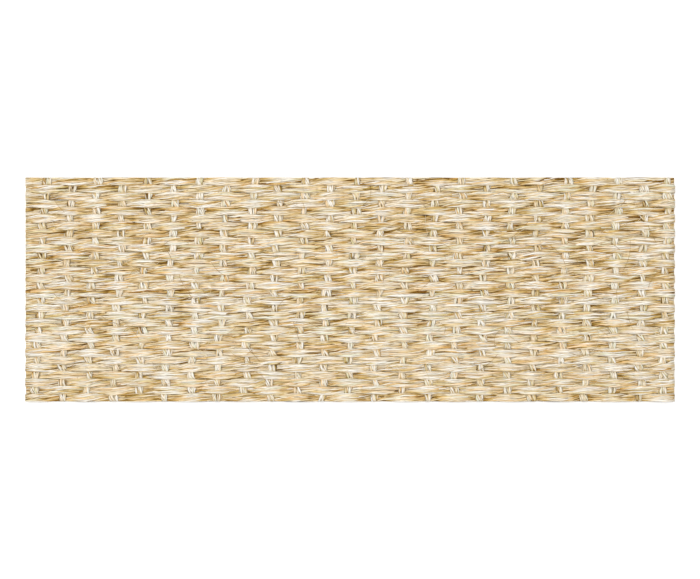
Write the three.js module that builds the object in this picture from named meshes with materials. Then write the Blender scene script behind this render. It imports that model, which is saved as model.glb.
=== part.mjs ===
// Sisal rug: one cut length of plain flat weave, lying flat on its underside.
// Millimetres, +Z up. X runs along the weft, Y along the warp.
// Origin: middle of the underside.
import * as THREE from 'three';

// The cut length.
const WIDTH = 290;
const LENGTH = 100;
const THICKNESS = 4.4;

// Weft: thick picks, each a pair of yarns, packed side by side from the near edge to the far edge.
const PICKS = 30;
const PICK_PITCH = LENGTH / PICKS;

// Warp: narrow ends, spaced apart. They drift to the right on their way to the far edge.
const ENDS = 25;
const END_PITCH = 11.68;
const END_SHIFT = 1.5;
const END_DRIFT = 0.04;
const END_REACH = 2.6;

// Heights of the face above the underside.
const GROOVE_HEIGHT = 2.9;
const RIM_HEIGHT = 2.1;
const CUT_END_HEIGHT = 3.6;
const CUT_MARGIN = 0.6;

// Stations across one warp end, measured from its middle line. Each has the height of the face
// where the weft lies over the end, and where the end lies over the weft.
const STATIONS = [
  { across: -END_REACH, weftOver: 4.1, warpOver: 3.1 },
  { across: 0, weftOver: THICKNESS, warpOver: 4.1 },
  { across: END_REACH, weftOver: 4.1, warpOver: 3.1 },
];

const SISAL_COLOUR = 0xd7c3a0;
const SISAL_ROUGHNESS = 0.9;

// Where a warp end stands, at a distance along the warp.
function endMiddle(end, y) {
  const fromCentre = end - (ENDS - 1) / 2;
  return END_SHIFT + fromCentre * END_PITCH + END_DRIFT * y;
}

// In a plain weave the warp shows over every second pick, and neighbouring ends take turns.
function warpShows(pick, end) {
  return (pick + end) % 2 === 1;
}

// Lines across the face from far to near: a groove and a crest for each pick, and the near rim.
function faceLines() {
  const lines = [];
  for (let pick = PICKS - 1; pick >= 0; pick -= 1) {
    const crest = (pick + 0.5) * PICK_PITCH - LENGTH / 2;
    const isFarRim = pick === PICKS - 1;
    lines.push({ y: crest + PICK_PITCH / 2, pick: null, height: isFarRim ? RIM_HEIGHT : GROOVE_HEIGHT });
    lines.push({ y: crest, pick, height: CUT_END_HEIGHT });
  }
  lines.push({ y: -LENGTH / 2, pick: null, height: RIM_HEIGHT });
  return lines;
}

// Points of one line from left to right: cut edge, the stations of every end, cut edge.
function linePoints(line) {
  const limit = WIDTH / 2 - CUT_MARGIN;
  const points = [new THREE.Vector3(-WIDTH / 2, line.y, line.height)];
  for (let end = 0; end < ENDS; end += 1) {
    for (const station of STATIONS) {
      const x = THREE.MathUtils.clamp(endMiddle(end, line.y) + station.across, -limit, limit);
      const crest = line.pick !== null && warpShows(line.pick, end) ? station.warpOver : station.weftOver;
      points.push(new THREE.Vector3(x, line.y, line.pick === null ? line.height : crest));
    }
  }
  points.push(new THREE.Vector3(WIDTH / 2, line.y, line.height));
  return points;
}

// One upright side. The ring of points runs counter-clockwise as seen from outside.
function sideTriangles(vertices, ring, rightward) {
  const contour = ring.map((id) => new THREE.Vector2(vertices[id].dot(rightward), vertices[id].z));
  const triangles = THREE.ShapeUtils.triangulateShape(contour, []);
  return triangles.flat().map((corner) => ring[corner]);
}

function rugGeometry() {
  const lines = faceLines().map(linePoints);
  const across = lines[0].length;
  const down = lines.length;
  const face = new THREE.PlaneGeometry(WIDTH, LENGTH, across - 1, down - 1);
  const vertices = lines.flat();

  const halfWidth = WIDTH / 2;
  const halfLength = LENGTH / 2;
  const nearLeft = vertices.push(new THREE.Vector3(-halfWidth, -halfLength, 0)) - 1;
  const nearRight = vertices.push(new THREE.Vector3(halfWidth, -halfLength, 0)) - 1;
  const farRight = vertices.push(new THREE.Vector3(halfWidth, halfLength, 0)) - 1;
  const farLeft = vertices.push(new THREE.Vector3(-halfWidth, halfLength, 0)) - 1;

  const columnOf = (column) => Array.from({ length: down }, (_, row) => row * across + column);
  const rowOf = (row) => Array.from({ length: across }, (_, column) => row * across + column);
  const right = new THREE.Vector3(1, 0, 0);
  const away = new THREE.Vector3(0, 1, 0);
  const left = right.clone().negate();
  const toward = away.clone().negate();
  const sides = [
    { ring: [nearLeft, nearRight, ...rowOf(down - 1).reverse()], rightward: right },
    { ring: [nearRight, farRight, ...columnOf(across - 1)], rightward: away },
    { ring: [farRight, farLeft, ...rowOf(0)], rightward: left },
    { ring: [farLeft, nearLeft, ...columnOf(0).reverse()], rightward: toward },
  ];

  const index = Array.from(face.index.array);
  for (const side of sides) {
    index.push(...sideTriangles(vertices, side.ring, side.rightward));
  }
  index.push(nearLeft, farLeft, farRight);
  index.push(nearLeft, farRight, nearRight);

  const solid = new THREE.BufferGeometry().setFromPoints(vertices);
  solid.setIndex(index);
  solid.computeVertexNormals();
  return solid;
}

const sisal = new THREE.MeshStandardMaterial({
  color: SISAL_COLOUR,
  roughness: SISAL_ROUGHNESS,
  metalness: 0,
});

const rug = new THREE.Mesh(rugGeometry(), sisal);
rug.name = 'sisal_rug';

const group = new THREE.Group();
group.name = 'sisal_rug_length';
group.add(rug);

export default group;
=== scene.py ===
import math

import bpy
import numpy as np
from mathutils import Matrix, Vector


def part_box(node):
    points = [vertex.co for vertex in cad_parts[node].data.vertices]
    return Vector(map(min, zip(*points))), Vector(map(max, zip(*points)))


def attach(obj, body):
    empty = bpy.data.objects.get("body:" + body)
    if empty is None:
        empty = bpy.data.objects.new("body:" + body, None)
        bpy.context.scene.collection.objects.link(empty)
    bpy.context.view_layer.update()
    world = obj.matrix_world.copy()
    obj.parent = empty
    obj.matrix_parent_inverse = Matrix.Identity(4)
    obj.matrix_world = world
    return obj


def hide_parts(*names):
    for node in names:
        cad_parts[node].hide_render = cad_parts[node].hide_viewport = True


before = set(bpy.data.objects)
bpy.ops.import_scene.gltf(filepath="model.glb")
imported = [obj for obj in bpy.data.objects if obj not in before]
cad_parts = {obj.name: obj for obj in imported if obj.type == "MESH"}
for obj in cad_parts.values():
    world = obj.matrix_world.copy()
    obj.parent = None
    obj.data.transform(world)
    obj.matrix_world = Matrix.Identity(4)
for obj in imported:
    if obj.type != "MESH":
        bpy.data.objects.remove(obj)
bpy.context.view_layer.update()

# Warp: pairs of sisal yarn, spaced well apart and stretched from the near edge to the far edge.
# Each pair bends sharply under one pick and over the next. The yarn is a soft core of combed fibre
# with coarser strands lying round it in a slow twist, all cut square at the rug's edges.
MM = 0.001
rug_low, rug_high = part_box("sisal_rug")
RUG_WIDTH = rug_high[0] - rug_low[0]
RUG_LENGTH = rug_high[1] - rug_low[1]
RUG_THICKNESS = rug_high[2] - rug_low[2]
MIDDLE_HEIGHT = 0.5 * RUG_THICKNESS
CUT_LOW = (-RUG_WIDTH / 2, -RUG_LENGTH / 2, 0.0)
CUT_HIGH = (RUG_WIDTH / 2, RUG_LENGTH / 2, 2 * RUG_THICKNESS)

PICKS = 30
PICK_PITCH = RUG_LENGTH / PICKS
ENDS = 25
END_PITCH = 11.68 * MM
END_SHIFT = 1.5 * MM
END_DRIFT = 0.0406
END_FAN = -0.0009
END_UNEVEN = 0.3 * MM
END_WAVES = (18 * MM, 45 * MM)
SWAY_STEPS = PICKS * 4

WARP_RISE = 0.94 * MM
WARP_APART = 0.72 * MM
WARP_APART_CHANGE = 0.3 * MM
WARP_APART_WAVES = (8 * MM, 20 * MM)
WARP_HALF_WIDTH = 0.88 * MM
WARP_WIDTH_CHANGE = 0.2
WARP_WIDTH_WAVES = (8 * MM, 14 * MM)
WARP_HALF_HEIGHT = 0.68 * MM
WARP_STATIONS = 121
CORE_SHARE = 0.8
CORE_SIDES = 4
# The cores are given a darker tone than the strands round them: painted shade for the depths of the yarn seen
# between strands and yarns.
CORE_SHADE_TONE = 0.28
CORE_TONE_SPREAD = 0.06

rng = np.random.default_rng(20)


def wander(rows, along, lengths):
    """Smooth random curves about zero, one a row: waves of about these lengths, with a spread near 1."""
    curves = np.zeros((rows, np.shape(along)[-1]))
    for length in lengths:
        wave = length * rng.uniform(0.7, 1.4, (rows, 1))
        start = rng.uniform(0.0, 2 * math.pi, (rows, 1))
        curves += np.sin(2 * math.pi * along / wave + start)
    return curves * math.sqrt(2 / len(lengths))


end_uneven = rng.normal(0.0, END_UNEVEN, ENDS + 2)
sway_y = np.linspace(-0.5, 0.5, SWAY_STEPS + 1) * RUG_LENGTH
end_sway = wander(ENDS + 2, sway_y, END_WAVES) * END_UNEVEN


def end_places(y):
    """Where every warp end stands at a distance along the warp, with one more outside each cut edge."""
    from_middle = np.arange(-1, ENDS + 1) - (ENDS - 1) / 2
    drift = (END_DRIFT + END_FAN * from_middle) * y
    step = int(round((y / RUG_LENGTH + 0.5) * SWAY_STEPS))
    sway = end_sway[:, min(max(step, 0), SWAY_STEPS)]
    return END_SHIFT + from_middle * END_PITCH + drift + end_uneven + sway


def ring_axes(path):
    """Two directions square to a path that runs level or up and down: sideways, and out of the face."""
    ahead = np.gradient(path, axis=-2)
    ahead /= np.linalg.norm(ahead, axis=-1, keepdims=True)
    up = np.array([0.0, 0.0, 1.0])
    sideways = np.cross(up, ahead)
    sideways /= np.linalg.norm(sideways, axis=-1, keepdims=True)
    return sideways, np.cross(ahead, sideways)


def core_rings(path, half_width, half_height, sides):
    """Rings of an oval yarn core round each path."""
    sideways, out = ring_axes(path)
    angle = np.linspace(0.0, 2 * math.pi, sides, endpoint=False)
    across = (np.cos(angle) * half_width[..., None])[..., None] * sideways[..., None, :]
    height = (np.sin(angle) * half_height[..., None])[..., None] * out[..., None, :]
    return path[..., None, :] + across + height


def core_across(half_width):
    """How far round its core each corner of a ring lies."""
    return np.abs(np.arange(CORE_SIDES) - CORE_SIDES / 2) * 2 * math.pi * half_width / CORE_SIDES


UV_MARGIN = 0.08
STREAK_STEP = 7.3


def tubes(name, rings, along, across, tone, hue):
    """One joined mesh of closed tubes from their rings, marked with the fibre's tone, hue and run."""
    count, stations, sides, _ = rings.shape
    rings = np.clip(rings, CUT_LOW, CUT_HIGH)
    ids = np.arange(count * stations * sides).reshape(count, stations, sides)
    turned = np.roll(ids, -1, axis=2)
    walls = np.stack([ids[:, :-1], turned[:, :-1], turned[:, 1:], ids[:, 1:]], -1).reshape(-1, 4)
    caps = np.concatenate([ids[:, 0, ::-1], ids[:, -1]]).reshape(-1, sides)
    corners = np.concatenate([walls.ravel(), caps.ravel()])
    starts = np.concatenate([np.arange(len(walls)) * 4, len(walls) * 4 + np.arange(len(caps)) * sides])

    mesh = bpy.data.meshes.new(name)
    mesh.vertices.add(ids.size)
    mesh.vertices.foreach_set("co", rings.ravel())
    mesh.loops.add(corners.size)
    mesh.loops.foreach_set("vertex_index", corners.astype(np.int32))
    mesh.polygons.add(starts.size)
    mesh.polygons.foreach_set("loop_start", starts.astype(np.int32))
    mesh.update(calc_edges=True)
    mesh.validate()
    mesh.polygons.foreach_set("use_smooth", np.arange(starts.size) < len(walls))

    u = np.linspace(0.0, 1.0, stations)
    v = np.linspace(UV_MARGIN, 1 - UV_MARGIN, sides + 1)
    counted = (np.arange(count), np.arange(stations - 1), np.arange(sides))
    tube, station, side = np.meshgrid(*counted, indexing="ij")
    wall_u = np.stack([u[station], u[station], u[station + 1], u[station + 1]], -1)
    wall_v = np.stack([v[side], v[side + 1], v[side + 1], v[side]], -1) + tube[..., None]
    cap_u = np.repeat([0.0, 1.0], count * sides)
    cap_v = np.concatenate([(np.arange(count)[:, None] + v[:-1]).ravel()] * 2)
    flat_u = np.concatenate([wall_u.ravel(), cap_u])
    flat_v = np.concatenate([wall_v.ravel(), cap_v]) / count
    flat = np.stack([flat_u, flat_v], -1).astype(np.float32)
    mesh.uv_layers.new(name="OFBake").data.foreach_set("uv", flat.ravel())

    whole = (count, stations, sides)
    marks = {"tone": tone[..., None], "hue": hue[:, None, None]}
    for mark, values in marks.items():
        values = np.broadcast_to(values, whole).astype(np.float32)
        mesh.attributes.new(mark, "FLOAT", "POINT").data.foreach_set("value", values.ravel())
    run = (along[:, None] / MM, across / MM, np.arange(count)[:, None, None] * STREAK_STEP)
    run = np.stack([np.broadcast_to(part, whole) for part in run], -1).astype(np.float32)
    mesh.attributes.new("run", "FLOAT_VECTOR", "POINT").data.foreach_set("vector", run.ravel())
    piece = bpy.data.objects.new(name, mesh)
    bpy.context.collection.objects.link(piece)
    return piece


class Shade:
    """One output of a material's nodes. Sums and products of outputs add Math nodes."""

    def __init__(self, tree, output=None):
        self.tree = tree
        self.output = output

    def node(self, kind, settings=None, sockets=None, output=0):
        """Adds any node: its settings first, a ramp's stops among them, then its sockets' values or links."""
        node = self.tree.nodes.new(kind)
        for name, value in (settings or {}).items():
            if name == "stops":
                for place, colour in value[1:-1]:
                    node.color_ramp.elements.new(place)
                for element, (place, colour) in zip(node.color_ramp.elements, value):
                    element.position = place
                    element.color = (*colour, 1.0)
            else:
                setattr(node, name, value)
        for name, value in (sockets or {}).items():
            if isinstance(value, Shade):
                self.tree.links.new(value.output, node.inputs[name])
            else:
                node.inputs[name].default_value = value
        return Shade(self.tree, node.outputs[output] if node.outputs else None)

    def math(self, operation, first, second):
        """Adds one Math node on two values."""
        return self.node("ShaderNodeMath", {"operation": operation}, {0: first, 1: second})

    def __add__(self, other):
        return self.math("ADD", self, other)

    __radd__ = __add__

    def __sub__(self, other):
        return self.math("SUBTRACT", self, other)

    def __rsub__(self, other):
        return self.math("SUBTRACT", other, self)

    def __mul__(self, other):
        return self.math("MULTIPLY", self, other)

    __rmul__ = __mul__


def linear(red, green, blue):
    """A paint colour of 0 to 255 steps as linear light."""
    steps = np.array([red, green, blue]) / 255
    return tuple(np.where(steps <= 0.04045, steps / 12.92, ((steps + 0.055) / 1.055) ** 2.4).tolist())


TINT_STOPS = [
    (0.0, linear(242, 246, 230)),
    (0.2, linear(255, 255, 255)),
    (0.75, linear(255, 255, 255)),
    (1.0, linear(255, 234, 204)),
]
FIBRE_GRAIN = (0.12, 3.2, 1.0)
STREAK_WEIGHT = 0.55
BLOTCH_SCALE = 70.0
BLOTCH_WEIGHT = 0.45
# Painted shade: how far the occlusion reaches, the openness that leaves the colour as it is, and how much
# darker closed-in fibre (and paler open fibre) is painted.
PAINTED_SHADE_REACH = 0.8 * MM
PAINTED_SHADE_MIDDLE = 0.7
PAINTED_SHADE_WEIGHT = 0.1
RELIEF_STRENGTH = 0.5
RELIEF_DEPTH = 0.1 * MM
DARK_ROUGHNESS = 0.66
PALE_LUSTRE = 0.24
SHINE = 0.08


def sisal(name, stops):
    """Sisal fibre: straw to cream, streaked along the fibre, with painted shade where nearby fibre closes
    round it, matt with a soft lustre.
    """
    material = bpy.data.materials.new(name)
    material.use_nodes = True
    tree = material.node_tree
    tree.nodes.clear()
    fibre = Shade(tree)
    place = fibre.node("ShaderNodeTexCoord", output="Object")
    run = fibre.node("ShaderNodeAttribute", {"attribute_name": "run"}, output="Vector")
    stretched = fibre.node("ShaderNodeVectorMath", {"operation": "MULTIPLY"}, {0: run, 1: FIBRE_GRAIN})
    streak = fibre.node("ShaderNodeTexNoise", {}, {"Vector": stretched, "Scale": 1.0, "Detail": 3.0}, "Fac")
    blotch = fibre.node(
        "ShaderNodeTexNoise",
        {},
        {"Vector": place, "Scale": BLOTCH_SCALE, "Detail": 2.0},
        "Fac",
    )
    tone = fibre.node("ShaderNodeAttribute", {"attribute_name": "tone"}, output="Fac")
    hue = fibre.node("ShaderNodeAttribute", {"attribute_name": "hue"}, output="Fac")
    # Painted shade: the colour is darkened where nearby fibre closes round the point and lightened where it
    # lies open.
    painted_occlusion_shade = fibre.node("ShaderNodeAmbientOcclusion", {"samples": 4}, {"Distance": PAINTED_SHADE_REACH}, "AO")
    shade = tone + (streak - 0.5) * STREAK_WEIGHT + (blotch - 0.5) * BLOTCH_WEIGHT
    shade = shade + (painted_occlusion_shade - PAINTED_SHADE_MIDDLE) * PAINTED_SHADE_WEIGHT
    straw = fibre.node("ShaderNodeValToRGB", {"stops": stops}, {"Fac": shade}, "Color")
    tint = fibre.node("ShaderNodeValToRGB", {"stops": TINT_STOPS}, {"Fac": hue}, "Color")
    colour = fibre.node(
        "ShaderNodeMix",
        {"data_type": "RGBA", "blend_type": "MULTIPLY"},
        {"Factor": 1.0, 6: straw, 7: tint},
        2,
    )
    relief = fibre.node(
        "ShaderNodeBump",
        {},
        {"Strength": RELIEF_STRENGTH, "Distance": RELIEF_DEPTH, "Height": streak},
        "Normal",
    )
    surface = fibre.node(
        "ShaderNodeBsdfPrincipled",
        {},
        {
            "Base Color": colour,
            "Roughness": DARK_ROUGHNESS - shade * PALE_LUSTRE,
            "Specular IOR Level": SHINE,
            "Normal": relief,
        },
        "BSDF",
    )
    fibre.node("ShaderNodeOutputMaterial", {}, {"Surface": surface})
    return material


def finish(piece, material):
    """Gives a piece its fibre and lays it on the rug's one body."""
    piece.data.materials.append(material)
    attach(piece, "root")
    return piece


# Painted light and shade by height: fibre is given a paler tone the higher it rides, so the crowns read lit
# and the dips read shaded.
HEIGHT_PAINTED_LIGHT = 0.6
LOWEST_PAINTED_LIGHT = 0.2


def painted_light_by_height(height):
    """How much paler the fibre is painted where it rides high on the face: painted light on the crowns, and
    painted shade, one even darker tone, on all fibre lower down.
    """
    return HEIGHT_PAINTED_LIGHT * np.maximum(height / MIDDLE_HEIGHT - 1, LOWEST_PAINTED_LIGHT)


WARP_STOPS = [
    (0.0, linear(104, 76, 30)),
    (0.12, linear(162, 130, 70)),
    (0.3, linear(202, 178, 128)),
    (0.55, linear(221, 207, 179)),
    (0.8, linear(228, 220, 205)),
    (1.0, linear(234, 229, 219)),
]
warp_finish = sisal("sisal_warp", WARP_STOPS)

warp_y = np.linspace(-0.5, 0.5, WARP_STATIONS) * RUG_LENGTH
warp_x = np.array([end_places(y) for y in warp_y]).T[1:-1]
pick_number = (warp_y / RUG_LENGTH + 0.5) * PICKS - 0.5
end_number = np.arange(ENDS)[:, None]
warp_z = MIDDLE_HEIGHT - WARP_RISE * np.cos(math.pi * (end_number + pick_number))

warp_paths = []
for end in range(ENDS):
    for side in (-1, 1):
        apart = WARP_APART + WARP_APART_CHANGE * wander(1, warp_y, WARP_APART_WAVES)[0]
        warp_paths.append(np.stack([warp_x[end] + side * apart, warp_y, warp_z[end]], -1))
warp_paths = np.array(warp_paths)
warp_yarns = len(warp_paths)
warp_half_width = WARP_HALF_WIDTH * (1 + WARP_WIDTH_CHANGE * wander(warp_yarns, warp_y, WARP_WIDTH_WAVES))
warp_half_height = np.full((warp_yarns, WARP_STATIONS), WARP_HALF_HEIGHT)
# Painted shade and light: the warp cores start from a darker tone than the strands and are painted paler the
# higher they ride.
warp_tone = rng.normal(CORE_SHADE_TONE, CORE_TONE_SPREAD, (warp_yarns, 1)) + painted_light_by_height(warp_paths[..., 2])
warp_cores = tubes(
    "warp_cores",
    core_rings(warp_paths, warp_half_width * CORE_SHARE, warp_half_height * CORE_SHARE, CORE_SIDES),
    warp_y,
    core_across(WARP_HALF_WIDTH),
    warp_tone,
    rng.random(warp_yarns),
)
warp_pieces = [finish(warp_cores, warp_finish)]

STRAND_THICKNESS = 0.14
STRAND_SUNK = 0.35
STRAND_SLIP = 0.25
STRAND_REACH = 0.97
REACH_CHANGE = 0.07
REACH_WAVES = (14 * MM, 38 * MM)
WIDTH_CHANGE = 0.22
WIDTH_WAVES = (11 * MM, 30 * MM)
TWIST_RANGE = (0.75, 1.3)
TWIST_CHANGE = 0.3
YARN_TONE_SPREAD = 0.07
YARN_TONE_CHANGE = 0.08
YARN_TONE_WAVES = (20 * MM, 60 * MM)
STRAND_TONE_CHANGE = 0.12
DARK_DROP = 0.4


def strand_rings(path, half_width, half_height, angle, reach, width):
    """Three-cornered rings of strands that lie round an oval yarn: two feet on its skin and a ridge."""
    sideways, out = ring_axes(path)
    skin = np.stack([np.cos(angle) * half_width, np.sin(angle) * half_height], -1) * reach[..., None]
    facing = np.stack([np.cos(angle) / half_width, np.sin(angle) / half_height], -1)
    facing /= np.linalg.norm(facing, axis=-1, keepdims=True)
    along_skin = np.stack([-facing[..., 1], facing[..., 0]], -1)
    thick = STRAND_THICKNESS * width
    left = skin - along_skin * (width / 2)[..., None] - facing * (STRAND_SUNK * thick)[..., None]
    right = skin + along_skin * (width / 2)[..., None] - facing * (STRAND_SUNK * thick)[..., None]
    ridge = skin + facing * ((1 - STRAND_SUNK) * thick)[..., None]
    corners = np.stack([right, left, ridge], -2)
    across = corners[..., 0, None] * sideways[..., None, :]
    height = corners[..., 1, None] * out[..., None, :]
    return path[..., None, :] + across + height


def strands_round(name, paths, half_width, half_height, along, spin):
    """Strands lying round each of these yarns, as one mesh."""
    yarns = len(paths)
    strands = spin["strands"]
    count = yarns * strands
    spun = np.repeat(paths, strands, axis=0)
    wide = np.repeat(half_width, strands, axis=0)
    high = np.repeat(half_height, strands, axis=0)

    first = np.tile(np.arange(strands) / strands, yarns) + np.repeat(rng.random(yarns), strands)
    first = 2 * math.pi * (first + rng.normal(0.0, STRAND_SLIP / strands, count))
    twist = np.repeat(2 * math.pi / (spin["twist_length"] * rng.uniform(*TWIST_RANGE, yarns)), strands)
    angle = first[:, None] - twist[:, None] * along + TWIST_CHANGE * wander(count, along, spin["waves"])
    reach = STRAND_REACH + REACH_CHANGE * wander(count, along, REACH_WAVES)
    width = rng.uniform(*spin["widths"], (count, 1)) * (1 + WIDTH_CHANGE * wander(count, along, WIDTH_WAVES))

    tone = rng.normal(spin["tone"], spin["tone_spread"], (count, 1))
    tone = tone + np.repeat(rng.normal(0.0, YARN_TONE_SPREAD, (yarns, 1)), strands, axis=0)
    tone = tone + np.repeat(YARN_TONE_CHANGE * wander(yarns, along, YARN_TONE_WAVES), strands, axis=0)
    tone = tone + STRAND_TONE_CHANGE * wander(count, along, spin["waves"])
    tone = tone - DARK_DROP * (rng.random((count, 1)) < spin["dark_share"])
    rings = strand_rings(spun, wide, high, angle, reach, width)
    # Painted light and shade: each strand is painted paler the higher it rides on the face.
    tone = tone + painted_light_by_height((rings[..., 2].mean(-1) + spun[..., 2]) / 2)
    across = width[..., None] * np.array([0.5, -0.5, 0.0])
    return tubes(name, rings, along, across, np.clip(tone, 0, 1), rng.random(count))


WARP_SPIN = {
    "strands": 8,
    "twist_length": 10 * MM,
    "widths": (0.6 * MM, 1.0 * MM),
    "waves": (6 * MM, 15 * MM),
    "tone": 0.5,
    "tone_spread": 0.15,
    "dark_share": 0.16,
}
ENDS_TOGETHER = 5
for first_end in range(0, ENDS, ENDS_TOGETHER):
    yarns = slice(2 * first_end, 2 * (first_end + ENDS_TOGETHER))
    strands = strands_round(
        f"warp_strands_{first_end + 1}_to_{first_end + ENDS_TOGETHER}",
        warp_paths[yarns],
        warp_half_width[yarns],
        warp_half_height[yarns],
        warp_y,
        WARP_SPIN,
    )
    warp_pieces.append(finish(strands, warp_finish))

# Weft: picks of two sisal yarns laid side by side in one shed and beaten up close to the pick before.
# The yarns are loosely spun, swell where they ride over or under a warp pair, and are squeezed between.
# Each has a flat filling of fine fibre inside, wider than the yarn and given a darker tone as painted shade
# between the yarns, and coarser strands outside.
PICK_WANDER = 0.13 * MM
PICK_WAVES = (24 * MM, 70 * MM)
WEFT_RISE = 1.1 * MM
WEFT_UNEVEN = 0.08 * MM
WEFT_UNEVEN_WAVES = (16 * MM, 40 * MM)
WEFT_SKEW = 0.1 * MM
WEFT_APART = (0.84 * MM, 0.96 * MM)
WEFT_WANDER = 0.08 * MM
WEFT_WAVES = (15 * MM, 40 * MM)
WEFT_HALF_WIDTH = (0.88 * MM, 0.98 * MM)
WEFT_HALF_HEIGHT = (1.0 * MM, 0.98 * MM)
WEFT_STATIONS = 97
EDGE_SPREAD = 1.25
FILLING_WIDTH = 1.16
FILLING_HEIGHT = 0.55

WEFT_STOPS = [
    (0.0, linear(118, 84, 30)),
    (0.12, linear(176, 138, 66)),
    (0.3, linear(215, 185, 124)),
    (0.55, linear(232, 215, 181)),
    (0.8, linear(236, 227, 211)),
    (1.0, linear(239, 234, 224)),
]
weft_finish = sisal("sisal_strand", WEFT_STOPS)


def swollen(sizes, swell):
    """A size between its squeezed value and its swollen one."""
    return sizes[0] + (sizes[1] - sizes[0]) * swell


weft_x = np.linspace(-0.5, 0.5, WEFT_STATIONS) * RUG_WIDTH
weft_paths = []
weft_swell = []
for pick in range(PICKS):
    pick_y = (pick + 0.5) * PICK_PITCH - RUG_LENGTH / 2
    end_count = np.interp(weft_x, end_places(pick_y), np.arange(-1, ENDS + 1))
    swell = np.cos(math.pi * end_count) ** 2
    height = MIDDLE_HEIGHT + WEFT_RISE * np.cos(math.pi * (end_count + pick))
    height = height + WEFT_UNEVEN * wander(1, weft_x, WEFT_UNEVEN_WAVES)[0]
    sway = PICK_WANDER * wander(1, weft_x, PICK_WAVES)[0]
    sway = sway - WEFT_SKEW * np.sin(math.pi * (end_count + pick))
    apart = swollen(WEFT_APART, swell)
    for side in (-1, 1):
        own = WEFT_WANDER * wander(1, weft_x, WEFT_WAVES)[0]
        weft_paths.append(np.stack([weft_x, pick_y + sway + side * apart + own, height], -1))
        weft_swell.append(swell)
weft_paths = np.array(weft_paths)
weft_swell = np.array(weft_swell)
weft_yarns = len(weft_paths)
weft_half_width = swollen(WEFT_HALF_WIDTH, weft_swell)
weft_half_width[[0, -1]] *= EDGE_SPREAD
weft_half_height = swollen(WEFT_HALF_HEIGHT, weft_swell)
# Painted shade and light: the weft fillings start from a darker tone than the strands and are painted paler
# the higher they ride.
weft_tone = rng.normal(CORE_SHADE_TONE, CORE_TONE_SPREAD, (weft_yarns, 1)) + painted_light_by_height(weft_paths[..., 2])
weft_cores = tubes(
    "weft_cores",
    core_rings(weft_paths, weft_half_width * FILLING_WIDTH, weft_half_height * FILLING_HEIGHT, CORE_SIDES),
    weft_x,
    core_across(WEFT_HALF_WIDTH[0]),
    weft_tone,
    rng.random(weft_yarns),
)
finish(weft_cores, weft_finish)
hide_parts("sisal_rug")

WEFT_SPIN = {
    "strands": 16,
    "twist_length": 48 * MM,
    "widths": (0.34 * MM, 0.74 * MM),
    "waves": (13 * MM, 34 * MM),
    "tone": 0.43,
    "tone_spread": 0.14,
    "dark_share": 0.18,
}
PICKS_TOGETHER = 5
for first_pick in range(0, PICKS, PICKS_TOGETHER):
    yarns = slice(2 * first_pick, 2 * (first_pick + PICKS_TOGETHER))
    strands = strands_round(
        f"weft_strands_{first_pick + 1}_to_{first_pick + PICKS_TOGETHER}",
        weft_paths[yarns],
        weft_half_width[yarns],
        weft_half_height[yarns],
        weft_x,
        WEFT_SPIN,
    )
    finish(strands, weft_finish)

# Loose fibres: single sisal fibres that have worked out of the yarns and lie bowed across the face.
# Both ends are still caught in the weave, which with them lies on the floor as one flat sheet.
LOOSE_FIBRES = 220
LOOSE_LENGTH = (5 * MM, 15 * MM)
LOOSE_HALF_WIDTH = 0.08 * MM
LOOSE_SIDES = 3
LOOSE_STATIONS = 13
LOOSE_LIFT = 0.1 * MM
LOOSE_DIP = 1.5 * MM
LOOSE_TURN = 0.6
LOOSE_BOW = 0.5
LOOSE_SPAN = (0.47 * RUG_WIDTH, 0.42 * RUG_LENGTH)
# Painted shade: a share of the loose fibres are given a dark tone as fibres lying in shadow, and the rest a
# pale one.
LOOSE_SHADED_SHARE = 0.35
LOOSE_SHADED_TONE = 0.12
LOOSE_PALE_TONE = 0.6

fibre_share = np.linspace(-0.5, 0.5, LOOSE_STATIONS)
fibre_length = rng.uniform(*LOOSE_LENGTH, (LOOSE_FIBRES, 1))
heading = rng.normal(0.0, LOOSE_TURN, (LOOSE_FIBRES, 1))
ahead = fibre_share * fibre_length
bowed = rng.normal(0.0, LOOSE_BOW, (LOOSE_FIBRES, 1)) * fibre_share ** 2 * fibre_length
middle_x = rng.uniform(-1, 1, (LOOSE_FIBRES, 1)) * LOOSE_SPAN[0]
middle_y = rng.uniform(-1, 1, (LOOSE_FIBRES, 1)) * LOOSE_SPAN[1]
fibre_x = middle_x + ahead * np.cos(heading) - bowed * np.sin(heading)
fibre_y = middle_y + ahead * np.sin(heading) + bowed * np.cos(heading)
fibre_z = RUG_THICKNESS + LOOSE_LIFT - LOOSE_DIP * (2 * np.abs(fibre_share)) ** 3
fibre_paths = np.stack([fibre_x, fibre_y, np.broadcast_to(fibre_z, fibre_x.shape)], -1)
fibre_half_width = np.full(fibre_x.shape, LOOSE_HALF_WIDTH)
# Which loose fibres get the dark, painted-shade tone.
fibre_shaded = rng.random((LOOSE_FIBRES, 1)) < LOOSE_SHADED_SHARE
loose_fibres = tubes(
    "loose_fibres",
    core_rings(fibre_paths, fibre_half_width, fibre_half_width, LOOSE_SIDES),
    fibre_share * LOOSE_LENGTH[1],
    np.zeros(LOOSE_SIDES),
    np.where(fibre_shaded, LOOSE_SHADED_TONE, LOOSE_PALE_TONE),
    rng.random(LOOSE_FIBRES),
)
finish(loose_fibres, weft_finish)

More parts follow.
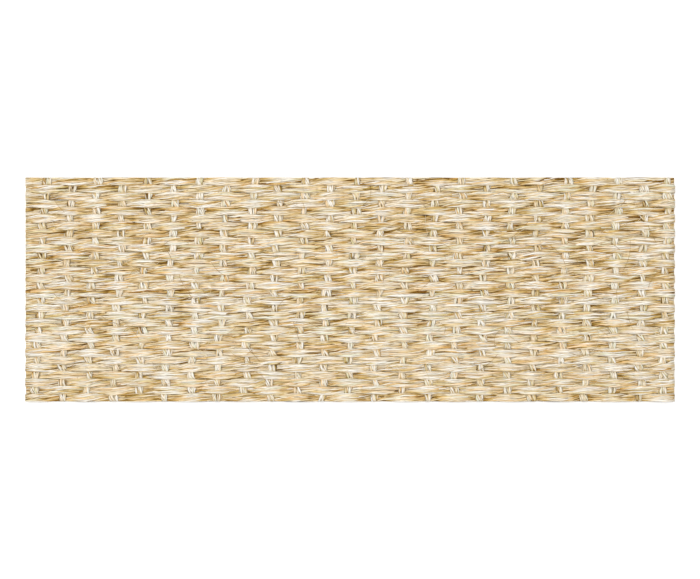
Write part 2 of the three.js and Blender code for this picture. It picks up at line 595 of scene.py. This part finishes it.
# Floor: a plain pale studio sheet, matt and without a seam.
# It is large enough to run out of the picture on every side.
FLOOR_SIZE = 8.0
FLOOR_COLOUR = (0.94, 0.94, 0.94, 1.0)
bpy.ops.mesh.primitive_plane_add(size=FLOOR_SIZE)
floor = bpy.context.object
floor.name = "floor"
paint = bpy.data.materials.new("pale_floor")
paint.use_nodes = True
floor_shader = paint.node_tree.nodes["Principled BSDF"]
floor_shader.inputs["Base Color"].default_value = FLOOR_COLOUR
floor_shader.inputs["Roughness"].default_value = 0.9
floor_shader.inputs["Specular IOR Level"].default_value = 0.1
floor.data.materials.append(paint)

# Light: one wide soft panel hung overhead, a little to the far left, turned to the middle of the floor.
# An even white surround fills in the shadows between the yarns.
SURROUND_COLOUR = (1.0, 1.0, 1.0, 1.0)
SURROUND_STRENGTH = 0.55
PANEL_SIZE = 0.9
PANEL_ENERGY = 21.5
PANEL_PLACE = (-0.14, 0.16, 1.5)
scene = bpy.context.scene
scene.view_settings.view_transform = "Standard"
surround = bpy.data.worlds.new("surround")
surround.use_nodes = True
sky = surround.node_tree.nodes["Background"]
sky.inputs["Color"].default_value = SURROUND_COLOUR
sky.inputs["Strength"].default_value = SURROUND_STRENGTH
scene.world = surround

panel = bpy.data.lights.new("soft_panel", "AREA")
panel.shape = "SQUARE"
panel.size = PANEL_SIZE
panel.energy = PANEL_ENERGY
panel_object = bpy.data.objects.new("soft_panel", panel)
panel_object.location = PANEL_PLACE
bpy.context.collection.objects.link(panel_object)
aim = panel_object.constraints.new("TRACK_TO")
aim.target = floor
aim.track_axis = "TRACK_NEGATIVE_Z"
aim.up_axis = "UP_Y"

# Camera: straight above the middle, with the far edge at the top of the picture.
# The lens is long, so that the yarns are seen from above right out to the edges.
PICTURE_WIDTH = 700
RUG_WIDTH_IN_PICTURE = 650.5
LENS = 85.0
SENSOR = 36.0
view_width = RUG_WIDTH * PICTURE_WIDTH / RUG_WIDTH_IN_PICTURE
lens = bpy.data.cameras.new("camera")
lens.lens = LENS
lens.sensor_width = SENSOR
camera = bpy.data.objects.new("camera", lens)
camera.location = (0.0, 0.0, RUG_THICKNESS + view_width * LENS / SENSOR)
bpy.context.collection.objects.link(camera)
scene.camera = camera
